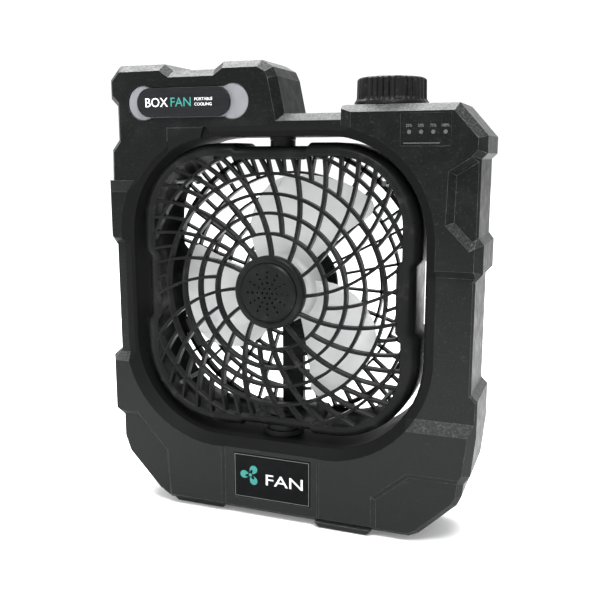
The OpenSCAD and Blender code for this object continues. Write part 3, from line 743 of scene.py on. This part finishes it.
def blade(bm, turn, r_tip, front, back):
    """One blade: a closed sheet that comes forward from its clockwise to its other edge.

    The root is wider than the tip, and the tip falls off towards the forward edge."""
    across, out = 24, 16
    root = CUP_R - 0.6 * MM
    sheets = []
    for face in (-1, 1):
        rows = []
        for i in range(out + 1):
            s = i / out
            # angles of the blade's two edges, at the share s of the way out
            first = math.radians(41 + 5 * (1 - s))
            last = math.radians(93 + 41 * (1 - s) ** 0.6)
            row = []
            for j in range(across + 1):
                t = j / across
                fall = TIP_FALL * max(0, t - 0.25) / 0.75
                corner = TIP_ROUND * (max(0, abs(t - 0.5) - 0.4) / 0.1) ** 2.5
                r = root + (r_tip - fall - corner * s - root) * s
                angle = turn + first + (last - first) * t
                camber = math.sin(math.pi * t) * BLADE_CAMBER
                thick = BLADE_HALF_T * (1 - 0.6 * abs(2 * t - 1) ** 6)
                x = AXIS.x + r * math.cos(angle)
                y = back - (back - front) * t * (1 - 0.12 * s) - camber + face * thick
                z = AXIS.z + r * math.sin(angle)
                row.append(bm.verts.new((x, y, z)))
            rows.append(row)
        sheets.append(rows)
    for rows in sheets:
        for a, b in zip(rows, rows[1:]):
            bridge(bm, a, b, closed=False)
    fore, rear = sheets
    for end in (0, -1):
        bridge(bm, fore[end], rear[end], closed=False)
        bridge(bm, [row[end] for row in fore], [row[end] for row in rear], closed=False)


# ---- knob ------------------------------------------------------------------------------

KNOB_RIBS = 36
STEPS_PER_RIB = 8
RIB_GROUP = 6  # every sixth rib is left out
RIB_HEIGHT = 1.1 * MM


def knob():
    """Fluted grip: groups of raised ribs, a flared foot and a chamfered top."""
    low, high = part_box("speed_knob")
    centre = middle("speed_knob")
    foot_r = half_width("speed_knob")
    grip_r = foot_r - 1.2 * MM
    height = high.z - low.z
    bm = bmesh.new()
    steps = KNOB_RIBS * STEPS_PER_RIB
    # height share, radius, how much of the ribs shows
    profile = [
        (0.0, foot_r, 0), (0.1, foot_r, 0), (0.14, foot_r - 0.5 * MM, 0.1), (0.22, grip_r, 0.8),
        (0.3, grip_r - 0.1 * MM, 1), (0.9, grip_r - 0.3 * MM, 1), (0.94, grip_r - 0.5 * MM, 0.7),
        (0.985, grip_r - 1.4 * MM, 0.1), (1.0, grip_r - 2 * MM, 0), (0.985, grip_r - 3 * MM, 0),
        (0.97, grip_r - 6 * MM, 0),
    ]
    rings = []
    for share, r, ribbed in profile:
        ring = []
        for i in range(steps):
            a = 2 * math.pi * i / steps
            gap = i // STEPS_PER_RIB % RIB_GROUP == RIB_GROUP - 1
            valley = 1 if gap else max(0, math.cos(2 * math.pi * i / STEPS_PER_RIB)) ** 2
            reach = r - RIB_HEIGHT * valley * ribbed
            x, y = centre.x + reach * math.cos(a), centre.y + reach * math.sin(a)
            ring.append(bm.verts.new((x, y, low.z + height * share)))
        rings.append(ring)
    for a, b in zip(rings, rings[1:]):
        bridge(bm, a, b)
    bm.faces.new(rings[-1])
    bm.faces.new(rings[0])
    piece = piece_from(bm, "knob_grip", "knob", KNOB, crease=50)
    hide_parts("speed_knob")


# ---- printed marks ---------------------------------------------------------------------

INK_T = 0.03 * MM
CAPITAL = 0.7  # height of a capital letter, as a share of the font's size


def printed(bm, name, body, finish):
    """Thin ink on a front face, from a bmesh that holds the drawing as flat faces there."""
    geometry = bmesh.ops.extrude_face_region(bm, geom=bm.faces[:])["geom"]
    moved = [v for v in geometry if isinstance(v, bmesh.types.BMVert)]
    bmesh.ops.translate(bm, verts=moved, vec=(0, -INK_T, 0))
    piece_from(bm, name, body, finish)


def word(text, name, finish, x, z, y, height, width_scale):
    """Generic lettering of some height, its lower left corner at x, z on a face at y."""
    curve = bpy.data.curves.new(name, "FONT")
    curve.body = text
    curve.size = height / CAPITAL
    curve.resolution_u = 3
    letters = bpy.data.objects.new(name, curve)
    mesh = bpy.data.meshes.new_from_object(letters)
    bpy.data.objects.remove(letters)
    bm = bmesh.new()
    bm.from_mesh(mesh)
    bpy.data.meshes.remove(mesh)
    for v in bm.verts:
        v.co = Vector((x + v.co.x * width_scale, y, z + v.co.y))
    printed(bm, name, "casing", finish)


def fan_mark(x, z, y, r):
    """Three curved blades around a dot."""
    bm = bmesh.new()
    for k in range(3):
        turn = 2 * math.pi * k / 3 + 0.3
        outline = []
        for i in range(13):
            t = i / 12
            a = turn + 1.5 * t
            outline.append((r * (0.3 + 0.7 * math.sin(math.pi * t) ** 0.6), a))
        for i in range(13):
            t = 1 - i / 12
            a = turn + 0.5 + 1.0 * t
            outline.append((r * (0.22 + 0.3 * math.sin(math.pi * t)), a))
        points = [(x + q * math.cos(a), z + q * math.sin(a)) for q, a in outline]
        bm.faces.new([bm.verts.new((px, y, pz)) for px, pz in points])
    dot_r = r * 0.16
    turns = [2 * math.pi * i / 20 for i in range(20)]
    dot = [(x + dot_r * math.cos(a), z + dot_r * math.sin(a)) for a in turns]
    bm.faces.new([bm.verts.new((px, y, pz)) for px, pz in dot])
    printed(bm, "fan_mark", "casing", TEAL_INK)


def corners_of(left, bottom, right, top, y):
    """Corners of an upright rectangle on a front face."""
    return [(left, y, bottom), (right, y, bottom), (right, y, top), (left, y, top)]


def plate_marks():
    """Thin border, fan mark and word on the name plate."""
    low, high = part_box("name_plate")
    face = low.y
    bm = bmesh.new()
    loops = []
    for d in (0.7 * MM, 1.05 * MM):
        corners = corners_of(low.x + d, low.z + d, high.x - d, high.z - d, face)
        loops.append([bm.verts.new(corner) for corner in corners])
    bridge(bm, *loops)
    printed(bm, "plate_border", "casing", GREY_INK)
    fan_mark(low.x + 11.5 * MM, (low.z + high.z) / 2 + 1 * MM, face, 7 * MM)
    x, z = low.x + 21 * MM, low.z + 10.5 * MM
    word("FAN", "plate_word", WHITE_INK, x, z, face, 7.2 * MM, 1.36)


def badge_marks():
    """Two large words and two small lines on the lamp's badge."""
    low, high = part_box("lamp_badge")
    base = (low.z + high.z) / 2 - 2.6 * MM
    # text, name, ink, left edge, height above the base line, letter height, letter width
    words = (
        ("BOX", "badge_word_white", WHITE_INK, 5.5 * MM, 0, 5.4 * MM, 1.0),
        ("FAN", "badge_word_teal", TEAL_INK, 23 * MM, 0, 5.4 * MM, 1.0),
        ("PORTABLE", "badge_line_upper", WHITE_INK, 39.5 * MM, 3.3 * MM, 1.7 * MM, 1.05),
        ("COOLING", "badge_line_lower", WHITE_INK, 39.5 * MM, 0.3 * MM, 1.7 * MM, 1.05),
    )
    for text, name, finish, left, up, height, stretch in words:
        word(text, name, finish, low.x + left, base + up, low.y, height, stretch)


def gauge_marks():
    """A percentage over each light of the battery gauge, and a line below them."""
    low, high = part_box("gauge_pipes")
    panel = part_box("gauge_panel")[0].y
    pipe_r = 1.1 * MM
    pitch = (high.x - low.x - 2 * pipe_r) / 3
    z = high.z + 1.6 * MM
    for i, percent in enumerate((25, 50, 75, 100)):
        text = f"{percent}%"
        x = low.x + pipe_r + i * pitch - 1.25 * MM * len(text) / 2
        word(text, f"gauge_{percent}", GREY_INK, x, z, panel, 1.5 * MM, 0.95)
    bm = bmesh.new()
    bottom = low.z - 5 * MM
    line = corners_of(low.x - 2 * MM, bottom, high.x - 4 * MM, bottom + 0.3 * MM, panel)
    bm.faces.new([bm.verts.new(corner) for corner in line])
    printed(bm, "gauge_line", "casing", GREY_INK)


# ---- studio ----------------------------------------------------------------------------


def area_light(name, place, aim, size, power):
    light = bpy.data.lights.new(name, "AREA")
    light.shape = "RECTANGLE"
    light.size, light.size_y = size
    light.energy = power
    obj = bpy.data.objects.new(name, light)
    obj.location = place
    obj.rotation_euler = (Vector(aim) - Vector(place)).to_track_quat("-Z", "Y").to_euler()
    bpy.context.scene.collection.objects.link(obj)


def studio():
    bm = bmesh.new()
    reach = 6  # metres from the object to the floor's edges
    corners = [(-reach, -reach), (reach, -reach), (reach, reach), (-reach, reach)]
    bm.faces.new([bm.verts.new((x, y, 0)) for x, y in corners])
    mesh = bpy.data.meshes.new("studio_floor")
    bm.to_mesh(mesh)
    bm.free()
    mesh.materials.append(floor_white())
    floor = bpy.data.objects.new("studio_floor", mesh)
    bpy.context.scene.collection.objects.link(floor)

    world = bpy.data.worlds.new("studio_world")
    bpy.context.scene.world = world
    world.use_nodes = True
    nodes, links = world.node_tree.nodes, world.node_tree.links
    sky = nodes["Background"]
    sky.inputs["Color"].default_value = (1, 1, 1, 1)
    # a little brighter behind the object than in front of it
    direction = nodes.new("ShaderNodeTexCoord").outputs["Generated"]
    split = nodes.new("ShaderNodeSeparateXYZ")
    links.new(direction, split.inputs["Vector"])
    ramp = nodes.new("ShaderNodeMapRange")
    ramp.interpolation_type = "SMOOTHSTEP"
    ramp.inputs["From Min"].default_value = -0.7
    ramp.inputs["From Max"].default_value = 0.4
    ramp.inputs["To Min"].default_value = 0.95
    ramp.inputs["To Max"].default_value = 1.1
    links.new(split.outputs["Y"], ramp.inputs["Value"])
    links.new(ramp.outputs["Result"], sky.inputs["Strength"])

    centre = (cad_box[0] + cad_box[1]) / 2
    area_light("key_softbox", (0.25, -0.55, 1.15), centre, (0.5, 0.4), 21)
    area_light("top_softbox", (-0.25, 0.42, 1.1), centre, (1.0, 0.45), 30)
    area_light("left_softbox", (-0.9, -0.55, 0.5), centre, (0.6, 0.6), 3)
    area_light("right_softbox", (0.55, -1.2, 0.5), centre, (0.6, 0.6), 3)
    bpy.context.scene.view_settings.view_transform = "Standard"


def camera():
    data = bpy.data.cameras.new("camera")
    data.sensor_width = 36
    data.lens = 47.4
    obj = bpy.data.objects.new("camera", data)
    obj.location = (0.1766, -0.457, 0.2262)
    obj.rotation_euler = (math.radians(90 - 10.27), 0, math.radians(20.63))
    bpy.context.scene.collection.objects.link(obj)
    bpy.context.scene.camera = obj


# ---- assembly --------------------------------------------------------------------------


def dress_nodes():
    """Gives each CAD node its finish and rounds its edges."""
    for finish, nodes in NODE_FINISH.items():
        for node in nodes:
            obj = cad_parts[node]
            obj.data.materials.clear()
            obj.data.materials.append(finish)
    for node in ("front_shell", "rear_shell"):
        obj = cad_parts[node]
        obj.data.materials.append(EDGES)
        round_edges(obj, 0.65 * MM, edge_slot=1)
    for node in ("name_plate", "lamp_badge", "lamp_lens", "port_cover", "lamp_button", "foot_pads"):
        round_edges(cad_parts[node], 0.35 * MM, segments=3, merge=0.02 * MM)


camera()
studio()
dress_nodes()
front_basket()
rear_basket()
rotor()
knob()
plate_marks()
badge_marks()
gauge_marks()

bpy.context.view_layer.update()
